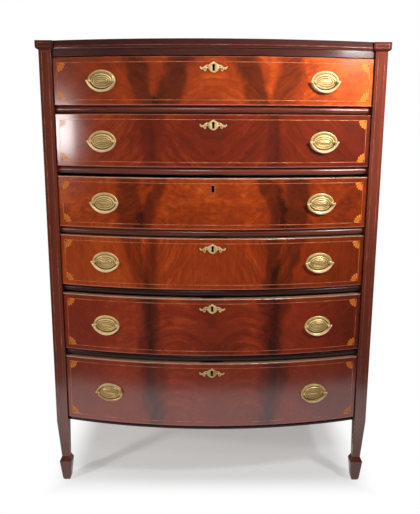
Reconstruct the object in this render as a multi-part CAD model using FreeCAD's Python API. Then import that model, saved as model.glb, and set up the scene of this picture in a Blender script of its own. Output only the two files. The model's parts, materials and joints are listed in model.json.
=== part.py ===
import FreeCAD, Part
import math
import os

# Bow front chest with six graduated drawers, in millimetres.
# X runs from left to right as seen from the front, Y from front to back, Z up from the floor.
# The origin lies on the floor, under the middle of the whole chest.

# Case
case_width = 965.0
case_depth = 480.0
leg_height = 205.0
bottom_rail_height = 14.0
rail_height = 20.5
frieze_height = 23.0
top_thickness = 19.0

# Drawers, from the top one down
drawer_heights = (128.5, 145.0, 146.0, 150.5, 174.0, 201.0)
drawer_top_gaps = (2.4, 1.7, 7.6, 3.4, 6.0, 3.4)
drawer_lift = 0.8

# Bow of the front
bow_rise = 65.0
bow_setback = 6.0

# Posts, legs and spade feet
post_size = 35.0
post_arris_radius = 1.5
leg_outer_taper = 9.5
leg_inner_taper = 1.5
leg_front_taper = 5.0
leg_back_taper = 5.0
ankle_height = 83.0
foot_shoulder_height = 68.0
foot_width = 38.0
foot_toe_height = 9.0
foot_toe_width = 25.0
foot_heel_height = 2.5
foot_heel_width = 21.0
foot_sole_width = 16.5

# Top board and caps
top_overhang = 6.0
top_edge_radius = 2.5
cap_height = 23.0
cap_overhang = 7.0
cap_chamfer = 4.0
cap_edge_radius = 1.5

# Rails
rail_setback = 6.0
frieze_setback = 1.0
rail_reach = 35.0
tenon_length = 12.0
tenon_width = 8.0
tenon_height = 8.0
tenon_inset = 4.0

# Side panels and back boards
panel_thickness = 15.0
panel_recess = 7.0
tongue_thickness = 8.0
tongue_depth = 8.0
back_thickness = 12.0
back_inset = 8.0
back_board_count = 5
back_board_gap = 1.0

# Runners, guides and stops
runner_width = 30.0
guide_height = 25.0
stop_width = 40.0
stop_depth = 10.0
stop_height = 6.0
stop_offset = 200.0
stop_gap = 0.5

# Drawer boxes
drawer_side_gap = 1.2
drawer_back_gap = 12.0
front_thickness = 22.0
front_edge_radius = 2.0
front_lap = 7.0
side_thickness = 11.0
side_drop = 3.0
drawer_back_thickness = 11.0
bottom_thickness = 7.0
bottom_lift = 9.0
side_groove = 4.5
front_groove = 6.0
bottom_play = 0.5
dovetail_pitch = 42.0
tail_root_share = 0.5
tail_slope_share = 0.16

# Locks
keyhole_drop = 29.5
keyhole_rise = 4.6
keyhole_radius = 3.8
keyhole_slot_width = 5.8
keyhole_slot_length = 13.2
bare_keyhole_drawers = (3,)
bare_keyhole_width = 8.0
bare_keyhole_height = 19.0
lock_width = 64.0
lock_height = 48.0
lock_depth = 12.0
bolt_width = 22.0
bolt_thickness = 6.0
bolt_length = 20.0
bolt_sink = 0.5
bolt_clearance = 0.3
bolt_travel = 12.0
bolt_chamber = 38.0
mortise_clearance = 1.5

# Oval pulls
pull_offset_shares = (0.684, 0.691, 0.688, 0.693, 0.701, 0.692)
pull_height_shares = (0.505, 0.484, 0.500, 0.505, 0.490, 0.481)
bail_post_spacing = 66.0
plate_end_margin = 7.4
plate_height = 58.5
plate_thickness = 1.2
plate_rim_width = 3.2
plate_rim_height = 2.2
plate_ring_shares = ((0.74, 0.70, 2.0), (0.60, 0.54, 1.4))
plate_boss_share = 0.46
plate_boss_top_share = 0.30
plate_boss_height = 3.4
bail_post_radius = 2.6
bail_post_head_radius = 3.6
bail_post_reach = 8.0
bail_post_tail = 2.0
bail_post_clearance = 0.15
nut_radius = 6.0
nut_thickness = 4.0
bail_radius = 2.4
bail_drop = 26.8
bail_reach = 7.6
bail_knuckle_radius = 2.8
bail_pin_radius = 1.5
bail_pin_clearance = 0.08
bail_pin_tail = 3.0
bail_rest_clearance = 0.3
raised_bails = ((6, "left"),)

# Escutcheons
escutcheon_thickness = 1.2
escutcheon_outline = ((0.0, 16.2), (2.2, 13.2), (5.5, 11.6), (9.5, 9.2), (12.6, 6.6), (15.0, 6.6),
                      (18.0, 7.2), (21.5, 6.0), (24.5, 3.0), (27.5, 0.6), (31.0, 0.6), (33.6, 2.6),
                      (36.2, 6.0), (36.8, 3.0), (35.2, -0.6), (32.0, -3.2), (28.5, -3.2), (26.0, -4.4),
                      (23.8, -7.4), (21.0, -7.4), (19.6, -4.6), (19.6, -1.8), (17.8, -0.6), (15.4, -1.2),
                      (13.4, -3.2), (12.0, -6.0), (8.6, -9.6), (4.2, -12.2), (0.0, -13.0))

# Cutting tools run past the faces that they cut by this much
overrun = 5.0
sweep_margin_share = 1.1

# Places worked out from the sizes
drawer_numbers = range(1, len(drawer_heights) + 1)
half_width = case_width / 2
opening_half = half_width - post_size
drawer_half = opening_half - drawer_side_gap
bow_projection = bow_rise - bow_setback
face_radius = (opening_half ** 2 + bow_rise ** 2) / (2 * bow_rise)
back_radius = face_radius - front_thickness
top_radius = face_radius + top_overhang
overall_depth = case_depth + bow_projection + top_overhang
front_y = top_overhang + bow_projection - overall_depth / 2
rear_y = front_y + case_depth
bow_centre_y = front_y - bow_projection + face_radius
front_post_back_y = front_y + post_size
rear_post_front_y = rear_y - post_size
rail_back_y = front_post_back_y + rail_reach
panel_inner_x = half_width - panel_recess - panel_thickness
tongue_x = panel_inner_x + (panel_thickness - tongue_thickness) / 2
back_front_y = rear_y - back_inset - back_thickness
drawer_rear_y = back_front_y - drawer_back_gap
drawer_back_front_y = drawer_rear_y - drawer_back_thickness
side_inner_x = drawer_half - side_thickness
bottom_half = side_inner_x + side_groove


def vector(x, y, z):
    return FreeCAD.Vector(x, y, z)


def stack_drawers():
    """Height of the rail under each drawer, and of the frieze, from the floor up."""
    seats = {}
    level = leg_height + bottom_rail_height
    for number in reversed(drawer_numbers):
        seats[number] = level
        level += drawer_lift + drawer_heights[number - 1] + drawer_top_gaps[number - 1]
        if number > 1:
            level += rail_height
    return seats, level


seat_heights, frieze_z = stack_drawers()
top_underside = frieze_z + frieze_height
total_height = top_underside + top_thickness
cap_underside = total_height - cap_height


def bow_y(x, radius):
    """Depth of a bow of the given radius at a distance from the middle."""
    return bow_centre_y - math.sqrt(radius ** 2 - x ** 2)


keyhole_face_y = bow_y(0, face_radius)
lock_back_y = bow_y(0, back_radius)
lock_front_y = lock_back_y - lock_depth
bolt_y = lock_back_y - lock_depth / 2
shoulder_y = bow_y(side_inner_x, back_radius)
lap_y = bow_y(drawer_half, face_radius) + front_lap


def box(x0, x1, y0, y1, z0, z1):
    return Part.makeBox(x1 - x0, y1 - y0, z1 - z0, vector(x0, y0, z0))


def face_of(edges):
    return Part.Face(Part.Wire(edges))


def polygon_face(points):
    return Part.Face(Part.makePolygon(list(points) + [points[0]]))


def line(start, end):
    return Part.LineSegment(start, end).toShape()


def arc(start, middle, end):
    return Part.Arc(start, middle, end).toShape()


def mirrored(shape):
    """The same shape on the other side of the chest."""
    return shape.mirror(vector(0, 0, 0), vector(1, 0, 0))


def bow_arc(radius, half, z):
    """Edge along a bow, from the left end to the right end."""
    end_y = bow_y(half, radius)
    return arc(vector(-half, end_y, z), vector(0, bow_y(0, radius), z), vector(half, end_y, z))


def on_bow(shape, x, z, radius):
    """Seat a shape made at the origin, facing the front, on a bow of the given radius."""
    placed = shape.copy()
    placed.rotate(vector(0, 0, 0), vector(0, 0, 1), math.degrees(math.asin(x / radius)))
    placed.translate(vector(x, bow_y(x, radius), z))
    return placed


def bowed_board(profile, half, back_y, z0, z1):
    """Sweep an upright profile at the middle of the bow, and trim its ends and its back edge square."""
    reach = math.atan2(half, bow_centre_y - back_y) * sweep_margin_share
    axis_point = vector(0, bow_centre_y, 0)
    profile.rotate(axis_point, vector(0, 0, 1), -math.degrees(reach))
    ring = profile.revolve(axis_point, vector(0, 0, 1), 2 * math.degrees(reach))
    return ring.common(box(-half, half, bow_y(0, top_radius) - overrun, back_y, z0, z1))


def square_profile(radius, back_y, z0, z1):
    front = bow_y(0, radius)
    back = back_y + overrun
    return polygon_face([vector(0, front, z0), vector(0, back, z0),
                         vector(0, back, z1), vector(0, front, z1)])


def half_round_profile(radius, back_y, z0, z1):
    nose = (z1 - z0) / 2
    front = bow_y(0, radius)
    core = front + nose
    back = back_y + overrun
    return face_of([line(vector(0, core, z0), vector(0, back, z0)),
                    line(vector(0, back, z0), vector(0, back, z1)),
                    line(vector(0, back, z1), vector(0, core, z1)),
                    arc(vector(0, core, z1), vector(0, front, z0 + nose), vector(0, core, z0))])


def rounded_top_profile(radius, back_y, z0, z1):
    front = bow_y(0, radius)
    back = back_y + overrun
    turn = top_edge_radius * (1 - math.sqrt(0.5))
    return face_of([line(vector(0, front, z0), vector(0, back, z0)),
                    line(vector(0, back, z0), vector(0, back, z1)),
                    line(vector(0, back, z1), vector(0, front + top_edge_radius, z1)),
                    arc(vector(0, front + top_edge_radius, z1), vector(0, front + turn, z1 - turn),
                        vector(0, front, z1 - top_edge_radius)),
                    line(vector(0, front, z1 - top_edge_radius), vector(0, front, z0))])


def tenon(radius, z0, z1):
    """Right-hand tenon of a rail, which the front post takes in a mortise."""
    start_y = bow_y(opening_half, radius) + tenon_inset
    middle = (z0 + z1) / 2
    return box(opening_half, opening_half + tenon_length, start_y, start_y + tenon_width,
               middle - tenon_height / 2, middle + tenon_height / 2)


def rail_spans():
    """Lower and upper face of the bottom rail and of each divider, by the drawer that stands on it."""
    spans = {}
    for number in drawer_numbers:
        lowest = number == drawer_numbers[-1]
        height = bottom_rail_height if lowest else rail_height
        spans[number] = (seat_heights[number] - height, seat_heights[number])
    return spans


def bolt_mortise(z):
    """Pocket in the underside of a rail for the bolt of the drawer below."""
    reach_x = bolt_width / 2 + mortise_clearance
    reach_y = bolt_thickness / 2 + mortise_clearance
    return box(-reach_x, reach_x, bolt_y - reach_y, bolt_y + reach_y, z - overrun, z + bolt_travel)


def with_tenons(rail, radius, z0, z1):
    right = tenon(radius, z0, z1)
    return rail.fuse([right, mirrored(right)])


def drawer_dividers():
    radius = face_radius - rail_setback
    rails = []
    for number, (z0, z1) in rail_spans().items():
        profile = half_round_profile(radius, rail_back_y, z0, z1)
        rail = with_tenons(bowed_board(profile, opening_half, rail_back_y, z0, z1), radius, z0, z1)
        if number != drawer_numbers[-1]:
            rail = rail.cut(bolt_mortise(z0))
        rails.append(rail)
    return rails


def post_caps():
    """Blocks over the front posts, flush with the top, with a chamfer round the lower edge."""
    inner = opening_half - cap_overhang
    outer = half_width + cap_overhang
    front = front_y - cap_overhang
    block = box(inner, outer, front, front_post_back_y, cap_underside, total_height)

    def shows(edge):
        centre = edge.CenterOfMass
        return centre.y < front_post_back_y - overrun and edge.BoundBox.ZLength < overrun

    lower = [edge for edge in block.Edges if shows(edge) and edge.CenterOfMass.z < top_underside]
    block = block.makeChamfer(cap_chamfer, lower)
    rim_z = total_height - cap_edge_radius
    upper = [edge for edge in block.Edges if shows(edge) and edge.BoundBox.ZMin > rim_z]
    block = block.makeFillet(cap_edge_radius, upper)
    return [mirrored(block), block]


def frieze_rail(caps):
    radius = face_radius - frieze_setback
    profile = square_profile(radius, rail_back_y, frieze_z, top_underside)
    rail = bowed_board(profile, opening_half, rail_back_y, frieze_z, top_underside)
    rail = with_tenons(rail, radius, frieze_z, top_underside)
    return rail.cut(caps + [bolt_mortise(frieze_z)])


def top_board(caps):
    half = half_width + cap_overhang
    profile = rounded_top_profile(top_radius, rear_y, top_underside, total_height)
    board = bowed_board(profile, half, rear_y, top_underside, total_height)
    board = board.cut([cap_space(cap) for cap in caps])
    sides = [edge for edge in board.Edges if is_top_side(edge, half)]
    return board.makeFillet(top_edge_radius, sides)


def cap_space(cap):
    """Square space that a cap takes in the corner of the top board."""
    bounds = cap.BoundBox
    return box(bounds.XMin, bounds.XMax, bounds.YMin, bounds.YMax, bounds.ZMin, bounds.ZMax)


def is_top_side(edge, half):
    bounds = edge.BoundBox
    at_side = min(abs(bounds.XMin), abs(bounds.XMax)) > half - top_edge_radius
    return at_side and bounds.ZMin > total_height - top_edge_radius and bounds.YLength > post_size


def rounded_square(x0, x1, y0, y1, z):
    """Closed outline of a post or leg, with its arrises rounded."""
    radius = post_arris_radius
    turn = radius * (1 - math.sqrt(0.5))
    starts = [vector(x0 + radius, y0, z), vector(x1, y0 + radius, z),
              vector(x1 - radius, y1, z), vector(x0, y1 - radius, z)]
    ends = [vector(x1 - radius, y0, z), vector(x1, y1 - radius, z),
            vector(x0 + radius, y1, z), vector(x0, y0 + radius, z)]
    corners = [vector(x1 - turn, y0 + turn, z), vector(x1 - turn, y1 - turn, z),
               vector(x0 + turn, y1 - turn, z), vector(x0 + turn, y0 + turn, z)]
    edges = []
    for start, end, corner, following in zip(starts, ends, corners, starts[1:] + starts[:1]):
        edges.append(line(start, end))
        edges.append(arc(end, corner, following))
    return Part.Wire(edges)


def front_right_post_blank(top_z):
    """Post, tapered leg and spade foot, lofted from the floor to the top."""
    inner = opening_half + leg_inner_taper
    outer = half_width - leg_outer_taper
    front = front_y + leg_front_taper
    back = front_post_back_y - leg_back_taper
    middle_x = (inner + outer) / 2
    middle_y = (front + back) / 2
    foot = ((0, foot_sole_width), (foot_heel_height, foot_heel_width),
            (foot_toe_height, foot_toe_width), (foot_shoulder_height, foot_width))
    outlines = []
    for z, width in foot:
        outlines.append(rounded_square(middle_x - width / 2, middle_x + width / 2,
                                       middle_y - width / 2, middle_y + width / 2, z))
    outlines.append(rounded_square(inner, outer, front, back, ankle_height))
    for z in (leg_height, top_z):
        outlines.append(rounded_square(opening_half, half_width, front_y, front_post_back_y, z))
    return Part.makeLoft(outlines, True, True)


def front_right_post(panel):
    mortises = [tenon(face_radius - rail_setback, z0, z1) for z0, z1 in rail_spans().values()]
    mortises.append(tenon(face_radius - frieze_setback, frieze_z, top_underside))
    return front_right_post_blank(cap_underside).cut(mortises + [panel])


def rear_right_post(panel, boards):
    middle_y = (front_y + rear_y) / 2
    blank = front_right_post_blank(top_underside).mirror(vector(0, middle_y, 0), vector(0, 1, 0))
    return blank.cut([panel] + boards)


def right_side_panel():
    """Solid side with a tongue along its front and rear edges."""
    body = box(panel_inner_x, panel_inner_x + panel_thickness, front_post_back_y, rear_post_front_y,
               leg_height, top_underside)
    tongue_end_x = tongue_x + tongue_thickness
    front = box(tongue_x, tongue_end_x, front_post_back_y - tongue_depth, front_post_back_y,
                leg_height, cap_underside)
    rear = box(tongue_x, tongue_end_x, rear_post_front_y, rear_post_front_y + tongue_depth,
               leg_height, top_underside)
    return body.fuse([front, rear])


def back_boards():
    half = opening_half + tongue_depth
    pitch = (top_underside - leg_height + back_board_gap) / back_board_count
    boards = []
    for index in range(back_board_count):
        z = leg_height + index * pitch
        boards.append(box(-half, half, back_front_y, back_front_y + back_thickness,
                          z, z + pitch - back_board_gap))
    return boards


def drawer_runners():
    """Runner and guide at both ends of each drawer, and kickers over the top one."""
    right = []
    inner = opening_half - runner_width
    for z0, z1 in rail_spans().values():
        right.append(box(inner, panel_inner_x, rail_back_y, rear_post_front_y, z0, z1))
        right.append(box(opening_half, panel_inner_x, rail_back_y, rear_post_front_y,
                         z1, z1 + guide_height))
    right.append(box(inner, panel_inner_x, rail_back_y, rear_post_front_y, frieze_z, top_underside))
    return right + [mirrored(piece) for piece in right]


def drawer_stops():
    block = box(-stop_width / 2, stop_width / 2, stop_gap, stop_gap + stop_depth, 0, stop_height)
    stops = []
    for number in drawer_numbers:
        for x in (-stop_offset, stop_offset):
            stops.append(on_bow(block, x, seat_heights[number], back_radius))
    return stops


def front_span(number):
    """Lower and upper edge of a drawer front."""
    low = seat_heights[number] + drawer_lift
    return low, low + drawer_heights[number - 1]


def dovetails(root_y, tip_y, z0, z1):
    """Row of tails on the right-hand drawer side, wider at the tip than at the root."""
    count = max(2, round((z1 - z0) / dovetail_pitch))
    pitch = (z1 - z0) / count
    root = pitch * tail_root_share / 2
    tip = root + abs(tip_y - root_y) * tail_slope_share
    tails = []
    for index in range(count):
        z = z0 + (index + 0.5) * pitch
        corners = ((root_y, z - root), (root_y, z + root), (tip_y, z + tip), (tip_y, z - tip))
        outline = polygon_face([vector(side_inner_x, y, height) for y, height in corners])
        tails.append(outline.extrude(vector(side_thickness, 0, 0)))
    return tails


def front_dovetails(number):
    low, high = front_span(number)
    return dovetails(shoulder_y, lap_y, low, high - side_drop)


def back_dovetails(number):
    high = front_span(number)[1] - side_drop
    return dovetails(drawer_back_front_y, drawer_rear_y, bottom_span(number)[1], high)


def bottom_span(number):
    low = seat_heights[number] + bottom_lift
    return low, low + bottom_thickness


def bottom_blank(number, radius):
    """Board with a bowed front edge, narrower where it enters the groove in the drawer front."""
    z0, z1 = bottom_span(number)
    tip_y = bow_y(side_inner_x, radius)
    half = bottom_half
    outline = [line(vector(side_inner_x, tip_y, z0), vector(side_inner_x, shoulder_y, z0)),
               line(vector(side_inner_x, shoulder_y, z0), vector(half, shoulder_y, z0)),
               line(vector(half, shoulder_y, z0), vector(half, drawer_rear_y, z0)),
               line(vector(half, drawer_rear_y, z0), vector(-half, drawer_rear_y, z0)),
               line(vector(-half, drawer_rear_y, z0), vector(-half, shoulder_y, z0)),
               line(vector(-half, shoulder_y, z0), vector(-side_inner_x, shoulder_y, z0)),
               line(vector(-side_inner_x, shoulder_y, z0), vector(-side_inner_x, tip_y, z0)),
               bow_arc(radius, side_inner_x, z0)]
    return face_of(outline).extrude(vector(0, 0, z1 - z0))


def bottom_groove(number):
    return bottom_blank(number, back_radius + front_groove)


def drawer_bottom(number):
    return bottom_blank(number, back_radius + front_groove - bottom_play)


def front_blank(number):
    """Bowed slab with the edges round its face eased."""
    low, high = front_span(number)
    end_face_y = bow_y(drawer_half, face_radius)
    end_back_y = bow_y(drawer_half, back_radius)
    outline = [bow_arc(face_radius, drawer_half, low),
               line(vector(drawer_half, end_face_y, low), vector(drawer_half, end_back_y, low)),
               bow_arc(back_radius, drawer_half, low),
               line(vector(-drawer_half, end_back_y, low), vector(-drawer_half, end_face_y, low))]
    slab = face_of(outline).extrude(vector(0, 0, high - low))
    return slab.makeFillet(front_edge_radius, [edge for edge in slab.Edges if is_on_face(edge)])


def is_on_face(edge):
    limit = face_radius - front_thickness / 2
    axis = vector(0, bow_centre_y, 0)
    return all(math.hypot(v.X - axis.x, v.Y - axis.y) > limit for v in edge.Vertexes)


def keyhole(number, y0, y1):
    """Round hole with a slot below it."""
    z = front_span(number)[1] - keyhole_drop + keyhole_rise
    hole = Part.makeCylinder(keyhole_radius, y1 - y0, vector(0, y0, z), vector(0, 1, 0))
    slot = box(-keyhole_slot_width / 2, keyhole_slot_width / 2, y0, y1, z - keyhole_slot_length, z)
    return hole.fuse(slot)


def bare_keyhole(number, y0, y1):
    """Wider slot with round ends, where a drawer front has no escutcheon."""
    radius = bare_keyhole_width / 2
    z = front_span(number)[1] - keyhole_drop
    reach = bare_keyhole_height / 2 - radius
    slot = box(-radius, radius, y0, y1, z - reach, z + reach)
    return slot.fuse([Part.makeCylinder(radius, y1 - y0, vector(0, y0, z + rise), vector(0, 1, 0))
                      for rise in (-reach, reach)])


def lock_blank(number, back_y):
    high = front_span(number)[1]
    return box(-lock_width / 2, lock_width / 2, lock_front_y, back_y, high - lock_height, high)


def pull_height(number):
    return front_span(number)[0] + drawer_heights[number - 1] * pull_height_shares[number - 1]


def pull_offset(number):
    return opening_half * pull_offset_shares[number - 1]


def on_both_sides(shape, number):
    """Copies of a fitting at the places of the two pulls of a drawer."""
    return [on_bow(shape, side * pull_offset(number), pull_height(number), face_radius) for side in (-1, 1)]


def bail_post_holes(number):
    holes = []
    for x in (-bail_post_spacing / 2, bail_post_spacing / 2):
        holes.append(Part.makeCylinder(bail_post_radius + bail_post_clearance,
                                       front_thickness + 2 * overrun,
                                       vector(x, -overrun, 0), vector(0, 1, 0)))
    return on_both_sides(Part.makeCompound(holes), number)


def drawer_front(number):
    low, high = front_span(number)
    flat = box(side_inner_x, drawer_half + overrun, shoulder_y, shoulder_y + front_thickness, low, high)
    tails = front_dovetails(number)
    tools = [flat, mirrored(flat)] + tails + [mirrored(tail) for tail in tails]
    tools += [bottom_groove(number), lock_blank(number, lock_back_y + overrun)]
    tools += bail_post_holes(number)
    opening = bare_keyhole if number in bare_keyhole_drawers else keyhole
    tools.append(opening(number, keyhole_face_y - overrun, lock_front_y + overrun))
    return front_blank(number).cut(tools)


def drawer_sides(number):
    low = seat_heights[number]
    high = front_span(number)[1] - side_drop
    body = box(side_inner_x, drawer_half, shoulder_y, drawer_back_front_y, low, high)
    heel = box(side_inner_x, drawer_half, drawer_back_front_y, drawer_rear_y, low, bottom_span(number)[1])
    right = body.fuse([heel] + front_dovetails(number) + back_dovetails(number))
    right = right.cut(bottom_groove(number)).removeSplitter()
    return [mirrored(right), right]


def drawer_back(number):
    low = bottom_span(number)[1]
    high = front_span(number)[1] - side_drop
    board = box(-drawer_half, drawer_half, drawer_back_front_y, drawer_rear_y, low, high)
    tails = back_dovetails(number)
    return board.cut(tails + [mirrored(tail) for tail in tails])


def lock_case(number):
    high = front_span(number)[1]
    half_x = bolt_width / 2 + bolt_clearance
    half_y = bolt_thickness / 2 + bolt_clearance
    chamber = box(-half_x, half_x, bolt_y - half_y, bolt_y + half_y, high - bolt_chamber, high + overrun)
    blank = lock_blank(number, lock_back_y)
    return blank.cut([chamber, keyhole(number, lock_front_y - overrun, bolt_y)])


def lock_bolt(number):
    high = front_span(number)[1] - bolt_sink
    return box(-bolt_width / 2, bolt_width / 2, bolt_y - bolt_thickness / 2, bolt_y + bolt_thickness / 2,
               high - bolt_length, high)


def oval(width, height, y):
    """Upright oval outline at a depth, facing the front."""
    wire = Part.Wire(Part.Ellipse(vector(0, 0, 0), width / 2, height / 2).toShape())
    wire.rotate(vector(0, 0, 0), vector(1, 0, 0), 90)
    wire.translate(vector(0, y, 0))
    return wire


def oval_plate(width, height, thickness):
    return Part.Face(oval(width, height, 0)).extrude(vector(0, -thickness, 0))


def backplate():
    """Oval plate with a rim, two raised rings and a boss, pierced for the bail posts."""
    width = bail_post_spacing + 2 * plate_end_margin
    inner_width = width - 2 * plate_rim_width
    inner_height = plate_height - 2 * plate_rim_width
    rim = oval_plate(width, plate_height, plate_rim_height)
    plate = rim.cut(oval_plate(inner_width, inner_height, plate_rim_height))
    plate = plate.fuse(oval_plate(width, plate_height, plate_thickness))
    for outer_share, inner_share, height_share in plate_ring_shares:
        ring = oval_plate(width * outer_share, plate_height * outer_share, plate_thickness * height_share)
        ring = ring.cut(oval_plate(width * inner_share, plate_height * inner_share,
                                   plate_thickness * height_share))
        plate = plate.fuse(ring)
    foot = oval(width * plate_boss_share, plate_height * plate_boss_share, -plate_thickness / 2)
    top = oval(width * plate_boss_top_share, plate_height * plate_boss_top_share, -plate_boss_height)
    plate = plate.fuse(Part.makeLoft([foot, top], True, True))
    holes = []
    for x in (-bail_post_spacing / 2, bail_post_spacing / 2):
        holes.append(Part.makeCylinder(bail_post_radius + bail_post_clearance,
                                       plate_boss_height + 2 * overrun,
                                       vector(x, overrun, 0), vector(0, -1, 0)))
    return plate.cut(holes)


def nut_seat():
    """Depth behind the face, along a bail post, at which a nut clears the curved inside."""
    reach = bail_post_spacing / 2 + nut_radius
    return face_radius - math.sqrt(back_radius ** 2 - reach ** 2)


def bail_post(x):
    """Bolt through the drawer front with a ball head that is drilled for the pin of the bail."""
    head = Part.makeSphere(bail_post_head_radius, vector(x, -bail_post_reach, 0))
    length = bail_post_reach + nut_seat() + nut_thickness + bail_post_tail
    shank = Part.makeCylinder(bail_post_radius, length, vector(x, -bail_post_reach, 0), vector(0, 1, 0))
    eye_length = 2 * (bail_post_head_radius + overrun)
    eye = Part.makeCylinder(bail_pin_radius + bail_pin_clearance, eye_length,
                            vector(x - eye_length / 2, -bail_post_reach, 0), vector(1, 0, 0))
    return head.fuse(shank).cut(eye)


def nut(x):
    seat = vector(x, nut_seat(), 0)
    blank = Part.makeCylinder(nut_radius, nut_thickness, seat, vector(0, 1, 0))
    return blank.cut(Part.makeCylinder(bail_post_radius + bail_post_clearance, nut_thickness,
                                       seat, vector(0, 1, 0)))


def escutcheon():
    """Oval with a peak and a scrolled arm to each side."""
    right = [vector(x, 0, z) for x, z in escutcheon_outline]
    left = [vector(-x, 0, z) for x, z in reversed(escutcheon_outline[1:-1])]
    curve = Part.BSplineCurve()
    curve.interpolate(Points=right + left, PeriodicFlag=True)
    return face_of([curve.toShape()]).extrude(vector(0, -escutcheon_thickness, 0))


def drawer_escutcheon(number):
    keyhole_z = front_span(number)[1] - keyhole_drop
    placed = on_bow(escutcheon(), 0, keyhole_z, face_radius)
    return placed.cut(keyhole(number, keyhole_face_y - overrun, keyhole_face_y + overrun))


def drawer_brasses(number):
    """Backplates, bail posts, nuts, escutcheon and lock case of one drawer."""
    half = bail_post_spacing / 2
    fittings = [backplate(), bail_post(-half), bail_post(half), nut(-half), nut(half)]
    brasses = []
    for piece in fittings:
        brasses += on_both_sides(piece, number)
    if number not in bare_keyhole_drawers:
        brasses.append(drawer_escutcheon(number))
    brasses.append(lock_case(number))
    return brasses


def raised_bail_turn():
    """Turn that takes a bail from hanging to leaning back on the upper rim of its plate."""
    room = bail_post_reach - bail_radius - plate_rim_height - bail_rest_clearance
    return 180 + math.degrees(math.asin(room / bail_drop))


def bail():
    """Bowed bar that hangs between the bail posts, with a knuckle and a pin at each end."""
    half = bail_post_spacing / 2 + bail_reach
    sweep_radius = (half ** 2 + bail_drop ** 2) / (2 * bail_drop)
    centre = vector(0, -bail_post_reach, sweep_radius - bail_drop)
    reach = math.degrees(math.atan2(half, centre.z))
    section = Part.Face(Part.Wire(Part.makeCircle(bail_radius, vector(0, -bail_post_reach, -bail_drop),
                                                  vector(1, 0, 0))))
    section.rotate(centre, vector(0, 1, 0), reach)
    bar = section.revolve(centre, vector(0, 1, 0), -2 * reach)
    pin_length = bail_reach + bail_pin_tail
    pieces = []
    for side in (-1, 1):
        tip = vector(side * half, -bail_post_reach, 0)
        pieces.append(Part.makeSphere(bail_knuckle_radius, tip))
        pieces.append(Part.makeCylinder(bail_pin_radius, pin_length, tip, vector(-side, 0, 0)))
    return bar.fuse(pieces)


def drawer_bail(number, side):
    shape = bail()
    if (number, side) in raised_bails:
        shape.rotate(vector(0, -bail_post_reach, 0), vector(-1, 0, 0), raised_bail_turn())
    x = -pull_offset(number) if side == "left" else pull_offset(number)
    return on_bow(shape, x, pull_height(number), face_radius)


def case_nodes():
    caps = post_caps()
    panel = right_side_panel()
    boards = back_boards()
    front_post = front_right_post(panel)
    rear_post = rear_right_post(panel, boards)
    return {"top_board": [top_board(caps)],
            "post_caps": caps,
            "frieze_rail": [frieze_rail(caps)],
            "front_left_post": [mirrored(front_post)],
            "front_right_post": [front_post],
            "rear_left_post": [mirrored(rear_post)],
            "rear_right_post": [rear_post],
            "side_panels": [mirrored(panel), panel],
            "back_boards": boards,
            "drawer_dividers": drawer_dividers(),
            "drawer_runners": drawer_runners(),
            "drawer_stops": drawer_stops()}


def drawer_nodes(number):
    name = f"drawer_{number}_"
    return {name + "front": [drawer_front(number)],
            name + "sides": drawer_sides(number),
            name + "back": [drawer_back(number)],
            name + "bottom": [drawer_bottom(number)],
            name + "brasses": drawer_brasses(number),
            name + "lock_bolt": [lock_bolt(number)],
            name + "left_bail": [drawer_bail(number, "left")],
            name + "right_bail": [drawer_bail(number, "right")]}


def write_nodes(nodes):
    for name, solids in nodes.items():
        shape = solids[0] if len(solids) == 1 else Part.makeCompound(solids)
        shape.exportStep(os.path.join("parts", name + ".step"))


os.makedirs("parts", exist_ok=True)
write_nodes(case_nodes())
for drawer_number in drawer_numbers:
    write_nodes(drawer_nodes(drawer_number))
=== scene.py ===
import json
import math
from collections import namedtuple

import bmesh
import bpy
from bpy.props import FloatProperty, FloatVectorProperty, IntProperty, PointerProperty
from mathutils import Matrix, Vector


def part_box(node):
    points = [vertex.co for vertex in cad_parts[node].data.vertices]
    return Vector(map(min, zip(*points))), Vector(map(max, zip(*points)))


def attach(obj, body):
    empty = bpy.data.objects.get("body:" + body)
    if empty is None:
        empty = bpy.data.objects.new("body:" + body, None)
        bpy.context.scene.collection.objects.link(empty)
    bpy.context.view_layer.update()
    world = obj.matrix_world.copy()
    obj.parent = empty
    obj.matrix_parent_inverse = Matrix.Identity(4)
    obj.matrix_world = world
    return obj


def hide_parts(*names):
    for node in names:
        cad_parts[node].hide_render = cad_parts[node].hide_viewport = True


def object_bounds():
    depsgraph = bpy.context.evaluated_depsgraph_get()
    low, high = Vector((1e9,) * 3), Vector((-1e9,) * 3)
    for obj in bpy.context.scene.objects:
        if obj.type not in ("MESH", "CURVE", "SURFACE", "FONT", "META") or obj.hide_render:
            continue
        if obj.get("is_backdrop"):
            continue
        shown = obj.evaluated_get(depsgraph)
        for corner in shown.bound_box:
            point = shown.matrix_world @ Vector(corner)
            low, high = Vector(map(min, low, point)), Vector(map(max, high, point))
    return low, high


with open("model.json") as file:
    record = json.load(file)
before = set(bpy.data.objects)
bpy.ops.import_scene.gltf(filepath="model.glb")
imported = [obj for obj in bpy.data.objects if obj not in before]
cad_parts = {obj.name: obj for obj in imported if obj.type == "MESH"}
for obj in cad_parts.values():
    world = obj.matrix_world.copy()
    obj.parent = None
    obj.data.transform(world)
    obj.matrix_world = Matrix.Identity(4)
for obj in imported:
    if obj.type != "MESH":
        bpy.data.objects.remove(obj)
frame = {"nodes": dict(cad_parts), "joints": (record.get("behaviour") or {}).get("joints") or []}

bl_info = {
    "name": "Bow front chest of drawers",
    "version": (1, 0, 0),
    "blender": (4, 5, 0),
    "location": "View3D > Sidebar > Chest",
    "description": "Finishes, inlay, brasses and stage for a bow front chest of drawers",
    "category": "Object",
}

DRAWERS = range(1, 7)
SIGNS = (-1, 1)
RIGHT_ANGLE = math.pi / 2
BLACK = (0, 0, 0)

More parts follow.
